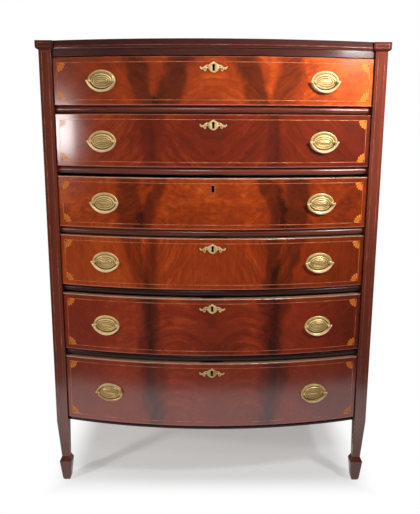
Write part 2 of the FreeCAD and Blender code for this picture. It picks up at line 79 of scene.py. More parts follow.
# Bow of the drawer faces, and sizes of the woodwork, in metres
BOW_RADIUS = 1.572933
BOW_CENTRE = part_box("drawer_1_front")[0][1] + BOW_RADIUS
FRONT_THICKNESS = 0.022
BACK_BOARDS = 5
BACK_BOARD_GAP = 0.001
# How deep strings and petals run into the wood behind them
STRING_DEPTH = 0.0004
PETAL_DEPTH = 0.0005


def srgb(red, green, blue):
    """Linear colour of an 8-bit screen colour."""
    def linear(value):
        share = value / 255
        return share / 12.92 if share <= 0.04045 else ((share + 0.055) / 1.055) ** 2.4
    return (linear(red), linear(green), linear(blue))


def tint(name, description, *screen_colour):
    return FloatVectorProperty(name=name, description=description, default=srgb(*screen_colour),
                               subtype="COLOR", size=3, min=0, max=1)


def metres(name, description, default):
    return FloatProperty(name=name, description=description, default=default, unit="LENGTH", precision=4)


def strength(name, description, default):
    return FloatProperty(name=name, description=description, default=default, min=0, max=2)


# Sizes and colours that a user would change

class InlaySizes(bpy.types.PropertyGroup):
    string_width: metres("String width", "Width of the inlaid string", 0.0017)
    string_inset: metres("String inset", "From the ends of a drawer front to the string", 0.0130)
    string_drop: metres("String drop", "From the upper and lower edge to the string", 0.0145)
    fan_length: metres("Fan length", "Length of a petal of a corner fan", 0.0235)
    proud: metres("Proud", "How far the inlay stands over the polish", 0.00012)
    case_string_width: metres("Case string width", "Width of the string on posts and caps", 0.0012)
    post_panel: metres("Post panel", "Width of the strung panel on a post", 0.0180)
    post_panel_foot: metres("Post panel foot", "Height of the foot of that panel", 0.2150)
    cap_panel: metres("Cap panel", "Width of the strung panel on a cap", 0.0360)
    cap_overhang: metres("Cap overhang", "How far a cap stands in front of its post", 0.0070)
    cap_width: metres("Cap width", "Width of a cap over a post", 0.0490)
    top_overhang: metres("Top overhang", "How far the top stands in front of the drawers", 0.0060)
    petals: IntProperty(name="Petals", description="Petals in each corner fan", default=4, min=3, max=8)


class PullSizes(bpy.types.PropertyGroup):
    plate_width: metres("Plate width", "Width of an oval backplate", 0.0808)
    plate_height: metres("Plate height", "Height of an oval backplate", 0.0585)
    spacing: metres("Post spacing", "Between the two posts of a pull", 0.066)
    reach: metres("Post reach", "From the drawer face to the pin of the bail", 0.008)
    bail_overlap: metres("Bail overlap", "From a post to the tip of the bail", 0.0076)
    bail_drop: metres("Bail drop", "From the pin to the middle of the bail", 0.0268)
    bail_radius: metres("Bail radius", "Half of the thickness of a bail", 0.0024)


class LockSizes(bpy.types.PropertyGroup):
    keyhole_drop: metres("Keyhole drop", "From the upper edge of a front to its keyhole", 0.0295)
    case_width: metres("Lock width", "Width of a lock case", 0.064)
    case_height: metres("Lock height", "Height of a lock case", 0.048)
    case_depth: metres("Lock depth", "Depth of a lock case", 0.012)


class FinishColours(bpy.types.PropertyGroup):
    post_light: tint("Post light", "Lighter grain of the posts", 112, 49, 32)
    post_dark: tint("Post dark", "Darker grain of the posts", 54, 24, 18)
    rail_light: tint("Rail light", "Lighter grain of rails and frieze", 73, 35, 28)
    rail_dark: tint("Rail dark", "Darker grain of rails and frieze", 38, 18, 17)
    pine_light: tint("Pine light", "Lighter grain of the hidden wood", 196, 152, 100)
    pine_dark: tint("Pine dark", "Darker grain of the hidden wood", 142, 98, 58)
    brass: tint("Brass", "Polished brass", 240, 203, 135)
    tarnish: tint("Tarnish", "Brass where it has darkened", 138, 106, 54)
    boxwood: tint("Boxwood", "Petals of the fans", 190, 106, 40)
    scorch: tint("Scorch", "Shaded side of the petals", 92, 38, 14)
    string: tint("String", "Inlaid string", 152, 82, 48)
    case_string: tint("Case string", "Inlaid string of posts and caps", 128, 62, 48)
    steel: tint("Steel", "Lock cases and bolts", 118, 112, 104)


class StageSettings(bpy.types.PropertyGroup):
    lens: FloatProperty(name="Lens", description="Focal length of the camera", default=43.70, unit="CAMERA")
    ambient: strength("Ambient", "Light from all round", 0.06)
    room: strength("Room", "Brightness of the room in reflections", 0.04)
    ceiling: strength("Ceiling", "Brightness of the ceiling in reflections", 1.0)


# Shader maths

class Socket:
    """Value of a shader node. Python operators on it add Math nodes."""

    def __init__(self, shade, link):
        self.shade = shade
        self.link = link

    def math(self, operation, *others):
        return self.shade.math(operation, self, *others)

    def __add__(self, other):
        return self.math("ADD", other)

    def __sub__(self, other):
        return self.math("SUBTRACT", other)

    def __mul__(self, other):
        return self.math("MULTIPLY", other)

    def __truediv__(self, other):
        return self.math("DIVIDE", other)

    def __pow__(self, other):
        return self.math("POWER", other)

    def __rsub__(self, other):
        return self.shade.math("SUBTRACT", other, self)

    def __rtruediv__(self, other):
        return self.shade.math("DIVIDE", other, self)

    def __neg__(self):
        return self.math("MULTIPLY", -1)

    def __abs__(self):
        return self.math("ABSOLUTE")

    __radd__ = __add__
    __rmul__ = __mul__

    def bell(self, width):
        """1 where the value is 0, falling to nothing over the width."""
        share = self / width
        return (-(share * share)).math("EXPONENT")

    def step(self, low, high):
        """Smooth step from 0 at low to 1 at high."""
        return self.shade.add("ShaderNodeMapRange", {"interpolation_type": "SMOOTHSTEP"},
                              {"Value": self, "From Min": low, "From Max": high})


class Shade:
    """Node tree of one material, or of the world."""

    def __init__(self, owner):
        owner.use_nodes = True
        self.tree = owner.node_tree
        self.tree.nodes.clear()

    def add(self, kind, settings=None, inputs=None, output=0):
        """Add a node, set it up, and give one of its outputs."""
        node = self.tree.nodes.new(kind)
        for key, value in (settings or {}).items():
            if key == "stops":
                self.set_stops(node.color_ramp.elements, value)
            else:
                setattr(node, key, value)
        for key, value in (inputs or {}).items():
            self.feed(node.inputs[key], value)
        return Socket(self, node.outputs[output]) if node.outputs else None

    def feed(self, socket, value):
        if isinstance(value, Socket):
            self.tree.links.new(value.link, socket)
        elif socket.type == "RGBA" and len(value) == 3:
            socket.default_value = (*value, 1)
        else:
            socket.default_value = value

    @staticmethod
    def set_stops(elements, stops):
        while len(elements) < len(stops):
            elements.new(0.5)
        for element, (place, colour) in zip(elements, stops):
            element.position = place
            element.color = (*colour, 1)

    def math(self, operation, *values):
        return self.add("ShaderNodeMath", {"operation": operation}, dict(enumerate(values)))

    def place(self):
        """The piece's own coordinates, which are the chest's."""
        return self.add("ShaderNodeTexCoord", output="Object")

    def split(self, vector, axis):
        return self.add("ShaderNodeSeparateXYZ", None, {0: vector}, axis)

    def axes(self):
        place = self.place()
        return [self.split(place, axis) for axis in "XYZ"]

    def rays(self, kind):
        return self.add("ShaderNodeLightPath", output=f"Is {kind} Ray")

    def noise(self, vector, scale, detail=3.0, roughness=0.5, distortion=0.0):
        """Noise at a vector, or at three values that make one."""
        if isinstance(vector, tuple):
            vector = self.add("ShaderNodeCombineXYZ", None, dict(zip("XYZ", vector)))
        return self.add("ShaderNodeTexNoise", None,
                        {"Vector": vector, "Scale": scale, "Detail": detail, "Roughness": roughness,
                         "Distortion": distortion})

    def mix(self, share, first, second):
        """Colour between two colours."""
        return self.add("ShaderNodeMix", {"data_type": "RGBA"},
                        {"Factor": share, "A": first, "B": second}, output="Result")

    def ramp(self, value, stops):
        return self.add("ShaderNodeValToRGB", {"stops": stops}, {"Fac": value})

    def surface(self, inputs, height=None, depth=0.0):
        """Principled surface, with a bump from a height between 0 and 1."""
        if height is not None:
            inputs["Normal"] = self.add("ShaderNodeBump", None, {"Height": height, "Distance": depth})
        shader = self.add("ShaderNodeBsdfPrincipled", None, inputs)
        self.add("ShaderNodeOutputMaterial", None, {"Surface": shader})


def new_shade(name):
    material = bpy.data.materials.new(name)
    return material, Shade(material)


def mix_linear(first, second, share):
    return tuple(a + (b - a) * share for a, b in zip(first, second))


def darken(colour, share):
    return mix_linear(colour, BLACK, share)


def distance(first, second):
    """How far a point is that lies two lengths off, at right angles to each other."""
    return (first * first + second * second) ** 0.5


# Finishes

# Gloss of French polish over mahogany, and what is left of it low down, where the wood also gets painted
# shade
POLISH_IOR = 1.75
LOW_POLISH = 0.25
# Gloss of wood under polish that is let into other wood
INLAY_POLISH = {"Specular IOR Level": 0.04, "Coat Weight": 0.8, "Coat Roughness": 0.13}


def grain_vector(shade, axis, along, shift=None):
    """Coordinates in which noise draws out along one axis. A shift gives another piece of wood."""
    x, y, z = [value * along if letter == axis else value for letter, value in zip("XYZ", shade.axes())]
    return (x, y + shift if shift else y, z)


def polished_wood(name, light, dark, axis, gloss, polish=0.9, haze=0.16, worn=None):
    """Plain mahogany under French polish, its grain along one axis. Below two heights its colour darkens
    as painted shade, and its polish thins.
    """
    material, shade = new_shade(name)
    streaks = shade.noise(grain_vector(shade, axis, 0.05), 95.0, 5.0, 0.62, 0.6)
    bands = shade.noise(grain_vector(shade, axis, 0.12), 14.0, 2.0, 0.5)
    pores = shade.noise(grain_vector(shade, axis, 0.03), 900.0, 2.0, 0.6).step(0.60, 0.72)
    tone = streaks * 0.65 + bands * 0.55 - 0.10
    colour = shade.ramp(tone, [(0.18, dark), (0.50, mix_linear(dark, light, 0.55)), (0.82, light)])
    colour = shade.mix(pores * 0.45, colour, darken(dark, 0.45))
    wave = shade.noise(grain_vector(shade, axis, 0.4), 9.0, 2.0)
    # Below the given heights, painted shade darkens the colour and the polish thins
    if worn:
        above_shade = shade.axes()[2].step(*worn)
        colour = shade.mix(above_shade, darken(dark, 0.3), colour)
        polish = above_shade * (polish - LOW_POLISH) + LOW_POLISH
    shade.surface({"Base Color": colour, "Roughness": gloss + bands * 0.10, "Specular IOR Level": 0.10,
                   "Coat Weight": polish, "Coat Roughness": haze, "Coat IOR": POLISH_IOR},
                  wave - pores * 0.02, 0.0006)
    return material


def pine(name, light, dark, axis, stack=None):
    """Dry unpolished softwood. A stack of boards is its lowest edge and the height of a board."""
    material, shade = new_shade(name)
    shift = None
    if stack:
        place = (shade.axes()[2] - stack[0]) / stack[1]
        board = place.math("FLOOR")
        shift = board * 1.7
    rings = shade.noise(grain_vector(shade, axis, 0.06, shift), 48.0, 4.0, 0.6, 0.8)
    fibres = shade.noise(grain_vector(shade, axis, 0.03, shift), 420.0, 3.0, 0.6)
    stain = shade.noise(shade.place(), 5.0, 4.0, 0.6)
    colour = shade.ramp(rings * 0.8 + fibres * 0.3 - 0.05, [(0.30, dark), (0.62, light), (0.85, dark)])
    colour = shade.mix(stain.step(0.50, 0.75) * 0.45, colour, darken(dark, 0.5))
    if stack:
        tone = (board * 2.4).math("SINE") * 0.16 + 0.18
        colour = shade.mix(tone, colour, darken(dark, 0.35))
        joint = abs(place - board - 0.5).step(0.490, 0.496)
        colour = shade.mix(joint * 0.85, colour, darken(dark, 0.85))
    shade.surface({"Base Color": colour, "Roughness": 0.62 + fibres * 0.25}, fibres, 0.0003)
    return material


# Figure of a drawer front. Its screen colours run from dark to light. A spine or a cloud is its distance
# from the middle, width, lean and strength. A feather is the slope and the bend of its plumes, how far they
# reach, and its strength. Arches are rings round a point, given by its distance from the middle and its drop
# below the middle of the front, with their strength. The rest are strengths of the mottle, the curl, the
# stripes, a darker middle and darker ends, a painted slope of light and shade from one end to the other and,
# after a seed, the painted highlight along the upper edge.
Figure = namedtuple(
    "Figure", "colours spine feather arches clouds mottle curl stripes middle ends tilt seed worn")
FIGURES = {
    1: Figure(
        ((56, 21, 10), (92, 34, 13), (133, 48, 16), (190, 85, 25)),
        (0.162, 0.006, 0.0, -0.18), (-0.9, 2.0, 0.20, 0.26), (0.0, 0.20, 0.06),
        ((0.108, 0.040, -0.40, 0.36), (0.205, 0.036, 0.20, 0.30)),
        0.30, 0.16, 0.04, 0.0, 0.02, 0.30, 3.1, 0.04),
    2: Figure(
        ((35, 12, 7), (70, 22, 12), (100, 31, 14), (148, 60, 23)),
        (0.171, 0.007, 0.05, 0.34), (1.3, -2.0, 0.20, 0.24), (0.0, 0.20, 0.06),
        ((0.171, 0.030, 0.0, 0.16),),
        0.20, 0.06, 0.05, 0.08, 0.04, -0.30, 7.4, 0.06),
    3: Figure(
        ((48, 17, 8), (88, 30, 11), (129, 46, 14), (182, 83, 27)),
        (0.184, 0.010, 0.0, 0.16), (0.6, 0.0, 0.10, 0.20), (0.0, 0.20, 0.0),
        ((0.172, 0.028, -0.25, 0.28), (0.238, 0.044, 0.0, 0.30)),
        0.34, 0.44, 0.06, 0.0, 0.08, -0.26, 11.9, 0.28),
    4: Figure(
        ((46, 16, 8), (88, 30, 11), (125, 43, 14), (170, 73, 23)),
        (0.168, 0.008, 0.0, 0.20), (-1.9, 0.0, 0.07, 0.46), (0.0, 0.20, 0.0),
        ((0.174, 0.028, 0.0, 0.24), (0.222, 0.034, 0.30, 0.24)),
        0.20, 0.06, 0.30, 0.0, 0.04, -0.38, 16.2, 0.20),
    5: Figure(
        ((42, 15, 8), (82, 26, 14), (120, 39, 17), (172, 71, 26)),
        (0.184, 0.015, 0.05, 0.19), (1.1, -5.0, 0.06, 0.22), (0.105, 0.10, 0.26),
        ((0.184, 0.040, 0.0, 0.26),),
        0.24, 0.08, 0.06, 0.14, 0.16, -0.14, 21.5, 0.26),
    6: Figure(
        ((42, 15, 10), (83, 27, 15), (117, 39, 18), (164, 63, 27)),
        (0.180, 0.015, 0.12, 0.15), (1.1, -4.0, 0.06, 0.18), (0.105, 0.08, 0.18),
        ((0.180, 0.042, 0.10, 0.23),),
        0.20, 0.0, 0.14, 0.04, 0.10, -0.06, 27.8, 0.24),
}


def flame_mahogany(number, low, high):
    """Polished crotch veneer, matched about the middle, with dark plumes to each side."""
    figure = FIGURES[number]
    dark, brown, red, light = [srgb(*colour) for colour in figure.colours]
    seed = figure.seed
    material, shade = new_shade(f"flame_mahogany_{number}")
    x, y, z = shade.axes()
    up = z - (low + high) / 2
    side = (x * x + 0.0002) ** 0.5
    leaf = x * 0.6 + seed
    place = (side, leaf, z)
    drift = shade.noise(place, 9.0, 3.0, 0.55) - 0.5
    waver = shade.noise((seed, x * 0.4, z), 26.0, 4.0, 0.65) - 0.5
    patch = shade.noise(place, 17.0, 5.0, 0.62, 0.3) - 0.5

    centre, width, lean, strength = figure.spine
    across = side - centre - up * lean + waver * 0.026
    arms = (across * across + 0.00012) ** 0.5
    slope, bend, spread, plumage = figure.feather
    rise = up + arms * slope + arms * arms * bend + drift * 0.05
    feather = shade.noise((arms * 9.0, leaf, rise * 44.0), 1.0, 5.0, 0.62, 0.7).step(0.25, 0.75) - 0.5
    feather = feather * arms.step(0.006, 0.040)
    spine = (arms + feather * 0.006 + patch * 0.016 - width).step(0.009, -0.009) * strength
    tone = 0.60 + feather * (arms.bell(spread) + 0.12) * plumage - spine
    for middle, reach, slant, depth in figure.clouds:
        cloud = (side - middle - up * slant + drift * 0.07).bell(reach) + patch * 1.7 + feather * 0.30
        tone = tone - cloud.step(0.22, 0.86) * depth
    apex, drop, bows = figure.arches
    ring = distance(side - apex, up + drop) + drift * 0.03
    arches = shade.noise((ring * 62.0, leaf, side * 5.0), 1.0, 3.0, 0.6).step(0.25, 0.75) - 0.5
    curl = shade.noise((side * 0.6, leaf, z * 1.5), 34.0, 4.0, 0.62, 1.2) - 0.5
    stripes = shade.noise((x + drift * 0.02, seed, z * 0.05), 120.0, 3.0, 0.6) - 0.5
    flecks = shade.noise((arms * 45.0, leaf, rise * 130.0), 1.0, 3.0, 0.6, 0.3) - 0.5
    lit = tone.step(0.10, 0.60) * 0.85 + 0.15
    tone = tone + ((patch + drift) * figure.mottle + curl * figure.curl + flecks * 0.22) * lit
    # x times the light slope paints light and shade, brighter towards one end of the front
    tone = tone + arches * (side - apex).bell(0.08) * bows + stripes * figure.stripes + x * figure.tilt
    tone = tone - x.bell(0.06) * figure.middle - side.step(0.26, 0.42) * figure.ends
    colour = shade.ramp(tone, [(0.08, dark), (0.34, brown), (0.60, red), (0.90, light)])
    pores = shade.noise((across * 700.0, seed, rise * 60.0), 1.0, 2.0, 0.6).step(0.58, 0.72)
    colour = shade.mix(pores * 0.30, colour, darken(dark, 0.3))

    # Painted highlights along the lower and the upper edge, and plain wood behind the veneer
    colour = shade.mix((z - low).step(0.0045, 0.0025) * 0.35, colour, mix_linear(light, (1, 1, 1), 0.10))
    # The upper edge's painted highlight has its own strength on each drawer
    worn = (z - high + patch * 0.002).step(-0.0030, -0.0012) * figure.worn
    colour = shade.mix(worn, colour, srgb(236, 206, 172))
    behind = BOW_RADIUS - distance(x, y - BOW_CENTRE)
    veneered = behind.step(FRONT_THICKNESS - 0.0005, FRONT_THICKNESS - 0.0020)
    grain = shade.noise((x * 0.05, seed, z), 90.0, 5.0, 0.62, 0.5)
    core = shade.ramp(grain, [(0.30, srgb(84, 50, 30)), (0.70, srgb(138, 92, 56))])
    shade.surface({"Base Color": shade.mix(veneered, core, colour), "Roughness": 0.36 + patch * 0.10,
                   "Specular IOR Level": 0.04, "Coat Weight": veneered * 0.95, "Coat Roughness": 0.15,
                   "Coat IOR": POLISH_IOR}, shade.noise(place, 7.0, 2.0), 0.0004)
    return material


def brass_finish(name, bright, tarnish, wear, dull=0.30, metal=0.74):
    """Old brass, darkened in patches, and duller on the lowest drawer."""
    material, shade = new_shade(name)
    place = shade.place()
    patches = shade.noise(place, 60.0, 3.0, 0.55).step(0.35, 0.70)
    colour = shade.mix(patches * wear + shade.split(place, "Z").step(0.44, 0.38) * dull, bright, tarnish)
    shade.surface({"Base Color": colour, "Metallic": metal, "Roughness": 0.30 + patches * 0.08})
    return material


def steel_finish(name, colour):
    """Iron lock plate with specks of rust."""
    material, shade = new_shade(name)
    rust = shade.noise(shade.place(), 220.0, 5.0, 0.65).step(0.48, 0.75)
    shade.surface({"Base Color": shade.mix(rust * 0.7, colour, srgb(92, 62, 44)),
                   "Metallic": 1.0 - rust * 0.6, "Roughness": 0.38 + rust * 0.3}, rust, 0.0001)
    return material


def string_finish(name, colour):
    """Light wood string, stained unevenly by old polish."""
    material, shade = new_shade(name)
    stain = shade.noise(shade.place(), 32.0, 4.0, 0.65)
    stops = [(0.25, mix_linear(colour, (0.03, 0.006, 0.002), 0.72)), (0.50, colour),
             (0.80, mix_linear(colour, (0.9, 0.7, 0.45), 0.25))]
    shade.surface({"Base Color": shade.ramp(stain, stops), "Roughness": 0.30 + stain * 0.12, **INLAY_POLISH})
    return material


def petal_finish(name, colour, scorch):
    """Boxwood petal, scorched along one side by hot sand."""
    material, shade = new_shade(name)
    petal = shade.add("ShaderNodeUVMap", {"uv_map": "petal"})
    grain = shade.noise(shade.place(), 600.0, 3.0, 0.6)
    burnt = shade.split(petal, "Y").step(0.62, 0.96) * 0.9 + shade.split(petal, "X").step(0.40, 0.02) * 0.55
    colour = shade.mix(grain.step(0.35, 0.75) * 0.3, colour, mix_linear(colour, scorch, 0.5))
    shade.surface({"Base Color": shade.mix(burnt, colour, scorch), "Roughness": 0.30 + grain * 0.08,
                   **INLAY_POLISH})
    return material


# Helpers for pieces

def moved(x, y, z):
    return Matrix.Translation((x, y, z))


def turned(angle, axis):
    return Matrix.Rotation(angle, 4, axis)


def seat_on_bow(x, z):
    """Place for a fitting made at the origin, facing the front, on the bow of a drawer."""
    depth = BOW_CENTRE - math.sqrt(BOW_RADIUS ** 2 - x ** 2)
    return moved(x, depth, z) @ turned(math.asin(x / BOW_RADIUS), "Z")


def node_box(node):
    low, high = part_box(node)
    return Vector(low), Vector(high)


def drawers():
    """Number, body, corners of the front and an empty mesh for each drawer in turn."""
    for number in DRAWERS:
        yield number, f"drawer_{number}", *node_box(f"drawer_{number}_front"), bmesh.new()


def bail_joint(number, side):
    name = f"drawer_{number}_{side}_bail_swing"
    for joint in frame["joints"]:
        if joint["name"] == name:
            return joint
    raise RuntimeError(f"the frame has no joint {name}")


def pull_places(number):
    """Seats of the two pulls of a drawer, behind the hinges of their bails."""
    places = {}
    for side in ("left", "right"):
        x, y, z = bail_joint(number, side)["pos_m"]
        places[side] = seat_on_bow(BOW_RADIUS * math.sin(math.atan2(x, BOW_CENTRE - y)), z)
    return places


def mesh_data(name, mesh):
    data = bpy.data.meshes.new(name)
    mesh.to_mesh(data)
    mesh.free()
    return data


def put_in_scene(name, data):
    item = bpy.data.objects.new(name, data)
    bpy.context.scene.collection.objects.link(item)
    return item


def add_copies(target, source, places):
    """Add a shape to a mesh once at each place."""
    shape = mesh_data("shape", source)
    for place in places:
        before = len(target.verts)
        target.from_mesh(shape)
        target.verts.ensure_lookup_table()
        bmesh.ops.transform(target, matrix=place, verts=target.verts[before:])
    bpy.data.meshes.remove(shape)


def close_up(mesh):
    """Merge seams and poles, and turn the faces outwards."""
    bmesh.ops.remove_doubles(mesh, verts=mesh.verts, dist=1e-7)
    bmesh.ops.recalc_face_normals(mesh, faces=mesh.faces)


def make_piece(name, mesh, materials, body, replaced=(), crease=35):
    """Turn a bmesh into a piece that rides on a body."""
    data = mesh_data(name, mesh)
    for material in materials:
        data.materials.append(material)
    data.shade_smooth()
    data.set_sharp_from_angle(angle=math.radians(crease))
    piece = put_in_scene(name, data)
    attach(piece, body)
    if replaced:
        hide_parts(*replaced)


def lathe(points, axis, steps, ring=False):
    """Closed shape turned from a profile, whose ends lie on the axis or meet to make a ring."""
    mesh = bmesh.new()
    verts = [mesh.verts.new(point) for point in points]
    edges = [mesh.edges.new(pair) for pair in zip(verts, verts[1:] + verts[:1] if ring else verts[1:])]
    bmesh.ops.spin(mesh, geom=verts + edges, cent=(0, 0, 0), axis=axis, angle=2 * math.pi, steps=steps,
                   use_merge=True)
    close_up(mesh)
    return mesh


def bar(mesh, size, place):
    bmesh.ops.create_cube(mesh, size=1, matrix=place @ Matrix.Diagonal((*size, 1)))


def sweep_bow(mesh, half, section):
    """Sweep a closed section along the bow. Its points are distances before the drawers, and heights."""
    reach = math.asin(half / BOW_RADIUS)
    turn = moved(0, BOW_CENTRE, 0) @ turned(-reach, "Z")
    verts = [mesh.verts.new(turn @ Vector((0, -BOW_RADIUS - out, z))) for out, z in section]
    face = mesh.faces.new(verts)
    bmesh.ops.spin(mesh, geom=[face, *face.edges, *verts], cent=(0, BOW_CENTRE, 0), axis=(0, 0, 1),
                   angle=2 * reach, steps=60)


def string_section(z, width, proud, face=0.0):
    """Section of a string let into a face that stands in front of the drawers."""
    back, front = face - STRING_DEPTH, face + proud
    low, high = z - width / 2, z + width / 2
    return [(back, low), (front, low), (front, high), (back, high)]


def let_in(mesh, width, height, proud, place):
    """Straight string let into a flat face."""
    depth = proud + STRING_DEPTH
    bar(mesh, (width, depth, height), place @ moved(0, depth / 2 - proud, 0))


def string_frame(mesh, low, high, width, proud):
    """Oblong of string let into a flat front, between two corners."""
    span = high - low
    centre = moved(*((low + high) / 2))
    for sign in SIGNS:
        let_in(mesh, width, span.z + width, proud, centre @ moved(sign * span.x / 2, 0, 0))
        let_in(mesh, span.x - width, width, proud, centre @ moved(0, 0, sign * span.z / 2))


# Corner fans, in metres
EYE_RADIUS = 0.0020
EYE_INSET = 0.0022


def add_fan(mesh, place, inlay):
    """Petals that spread from a corner, and a dark eye in it."""
    turn = RIGHT_ANGLE / inlay.petals
    for index in range(inlay.petals):
        add_petal(mesh, place @ turned(-(index + 0.5) * turn, "Y"), inlay, math.tan(turn / 2))
    eye = bmesh.ops.create_circle(mesh, cap_ends=True, segments=12, radius=EYE_RADIUS)["verts"]
    corner = moved(EYE_INSET, -inlay.proud * 1.5, EYE_INSET) @ turned(RIGHT_ANGLE, "X")
    bmesh.ops.transform(mesh, matrix=place @ corner, verts=eye)
    face = eye[0].link_faces[0]
    face.material_index = 1
    thicken(mesh, face, place)


def add_petal(mesh, place, inlay, spread):
    """Long petal with a round tip, and a map of its length and breadth."""
    layer = mesh.loops.layers.uv["petal"]
    verts = bmesh.ops.create_circle(mesh, cap_ends=True, segments=20, radius=1)["verts"]
    face = verts[0].link_faces[0]
    for loop in face.loops:
        loop[layer].uv = ((loop.vert.co.x + 1) / 2, (loop.vert.co.y + 1) / 2)
    for vert in verts:
        along = (vert.co.x + 1) / 2
        breadth = inlay.fan_length * spread * 0.97 * min(1, along * 1.35)
        vert.co = (inlay.fan_length * (0.04 + 0.96 * along), -inlay.proud, vert.co.y * breadth)
    bmesh.ops.transform(mesh, matrix=place, verts=verts)
    thicken(mesh, face, place)


def thicken(mesh, face, place):
    """Run the inlay back into the drawer front."""
    extruded = bmesh.ops.extrude_face_region(mesh, geom=[face], use_keep_orig=True)["geom"]
    verts = [item for item in extruded if isinstance(item, bmesh.types.BMVert)]
    bmesh.ops.translate(mesh, vec=place.to_3x3() @ Vector((0, PETAL_DEPTH, 0)), verts=verts)


# Height of an oval plate over the distance from its rim, in millimetres
PLATE_PROFILE = (
    (0.0, 0.0), (0.0, 0.9), (0.6, 1.7), (1.6, 2.25), (2.8, 2.45), (4.0, 2.3), (5.0, 1.8), (5.8, 1.3),
    (6.6, 1.1), (9.0, 1.1), (9.8, 1.3), (10.7, 1.9), (11.7, 2.9), (12.7, 3.3), (13.7, 3.2), (14.5, 2.7),
    (15.3, 2.5), (16.1, 2.8), (17.1, 3.5), (18.1, 3.9), (19.2, 3.8), (20.0, 3.2), (20.8, 3.0), (21.6, 3.2),
    (22.8, 4.1), (24.0, 4.3), (25.0, 3.9), (26.0, 4.1), (27.4, 4.6), (29.25, 4.7))
# Grooves that hold old polish, as distances from the rim. Below a height over the middle the first
# is black, a painted shadow of the bail.
PLATE_GROOVES = ((6.5, 9.9), (14.0, 16.0), (19.5, 21.3), (24.4, 25.6))
SHADOW_GROOVE_TOP = 0.004


def oval_plate(pulls):
    """Ringed oval, turned round and then drawn out so that each ring keeps its distance from the rim."""
    radius = pulls.plate_height / 2
    stretch = (pulls.plate_width - pulls.plate_height) / 2
    points = [(max(radius - inset / 1000, 0), -height / 1000, 0) for inset, height in PLATE_PROFILE]
    mesh = lathe([(0, 0, 0), *points], (0, 1, 0), 72)
    for face in mesh.faces:
        middle = face.calc_center_median()
        inset = 1000 * (radius - math.hypot(middle.x, middle.z))
        groove = [start for start, end in PLATE_GROOVES if start < inset < end]
        if groove and face.normal.y < -0.05:
            first = groove[0] == PLATE_GROOVES[0][0]
            face.material_index = 2 if first and middle.z < SHADOW_GROOVE_TOP else 1
    for vert in mesh.verts:
        reach = math.hypot(vert.co.x, vert.co.z)
        if reach > 1e-6:
            vert.co.x += stretch * vert.co.x / reach
    return mesh


# Fittings of a pull, in metres. The shank is turned from radii and depths behind the drawer face.
BEAD_RADIUS = 0.0036
BEAD_BORE = 0.00158
BEAD_STEPS = 12
SHANK_START = 0.0022
SHANK_PROFILE = ((0.0025, -0.0042), (0.0037, -0.0036), (0.0040, -0.0026), (0.0037, -0.0016),
                 (0.0026, -0.0012), (0.0026, 0.0288), (0.0021, 0.0294), (0, 0.0294))
NUT_SIZE = (0.0096, 0.0036, 0.0096)
NUT_DEPTH = 0.0247
NUT_CORNER = 0.0014
KNUCKLE_RADIUS = 0.0028
PIN_RADIUS = 0.0015
PIN_LENGTH = 0.010
# Thickness of a bail at its ends, and what its middle has more, as shares
BAIL_END = 0.86
BAIL_SWELL = 0.46


def bead(pulls):
    """Ball head, bored for the pin of the bail."""
    start = math.asin(BEAD_BORE / BEAD_RADIUS)
    turns = [start + (math.pi - 2 * start) * step / BEAD_STEPS for step in range(BEAD_STEPS + 1)]
    points = [(BEAD_RADIUS * math.cos(turn), 0, BEAD_RADIUS * math.sin(turn)) for turn in turns]
    mesh = lathe(points, (1, 0, 0), 28, ring=True)
    bmesh.ops.translate(mesh, vec=(0, -pulls.reach, 0), verts=mesh.verts)
    return mesh


def shank(pulls):
    """Collar and bolt, from the ball through the plate to behind the drawer front."""
    front = -pulls.reach + SHANK_START
    profile = ((0, front), (0.0023, front), *SHANK_PROFILE)
    return lathe([(radius, y, 0) for radius, y in profile], (0, 1, 0), 24)


def nut():
    """Square nut with its corners taken off."""
    mesh = bmesh.new()
    bar(mesh, NUT_SIZE, moved(0, NUT_DEPTH, 0))
    corners = [edge for edge in mesh.edges if abs(edge.verts[0].co.y - edge.verts[1].co.y) > 0.003]
    bmesh.ops.bevel(mesh, geom=corners, offset=NUT_CORNER, segments=2, profile=0.5, affect="EDGES",
                    material=-1)
    return mesh


def bail(pulls):
    """Bow that swells towards its middle, with a knuckle and a pin at each end."""
    half = pulls.spacing / 2 + pulls.bail_overlap
    drop = pulls.bail_drop
    radius = (half ** 2 + drop ** 2) / (2 * drop)
    centre = Vector((0, -pulls.reach, radius - drop))
    reach = math.atan2(half, centre.z)
    mesh = bmesh.new()
    ring = bmesh.ops.create_circle(mesh, cap_ends=True, segments=14, radius=pulls.bail_radius)["verts"]
    bmesh.ops.transform(mesh, matrix=moved(0, -pulls.reach, -drop) @ turned(RIGHT_ANGLE, "Y"), verts=ring)
    bmesh.ops.transform(mesh, matrix=moved(*centre) @ turned(reach, "Y") @ moved(*-centre), verts=ring)
    bmesh.ops.spin(mesh, geom=[*mesh.verts, *mesh.edges, *mesh.faces], cent=centre, axis=(0, 1, 0),
                   angle=-2 * reach, steps=40)
    for vert in mesh.verts:
        arm = Vector((vert.co.x, 0, vert.co.z - centre.z))
        swell = BAIL_END + BAIL_SWELL * math.cos(math.atan2(arm.x, -arm.z) / reach * math.pi / 2) ** 2
        length = radius + (arm.length - radius) * swell
        vert.co.x = arm.x / arm.length * length
        vert.co.z = centre.z + arm.z / arm.length * length
    close_up(mesh)
    for sign in SIGNS:
        bmesh.ops.create_uvsphere(mesh, u_segments=18, v_segments=12, radius=KNUCKLE_RADIUS,
                                  matrix=moved(sign * half, -pulls.reach, 0))
        pin = moved(sign * (half - PIN_LENGTH / 2), -pulls.reach, 0) @ turned(RIGHT_ANGLE, "Y")
        bmesh.ops.create_cone(mesh, cap_ends=True, segments=14, radius1=PIN_RADIUS, radius2=PIN_RADIUS,
                              depth=PIN_LENGTH, matrix=pin)
    bmesh.ops.recalc_face_normals(mesh, faces=mesh.faces)
    return mesh


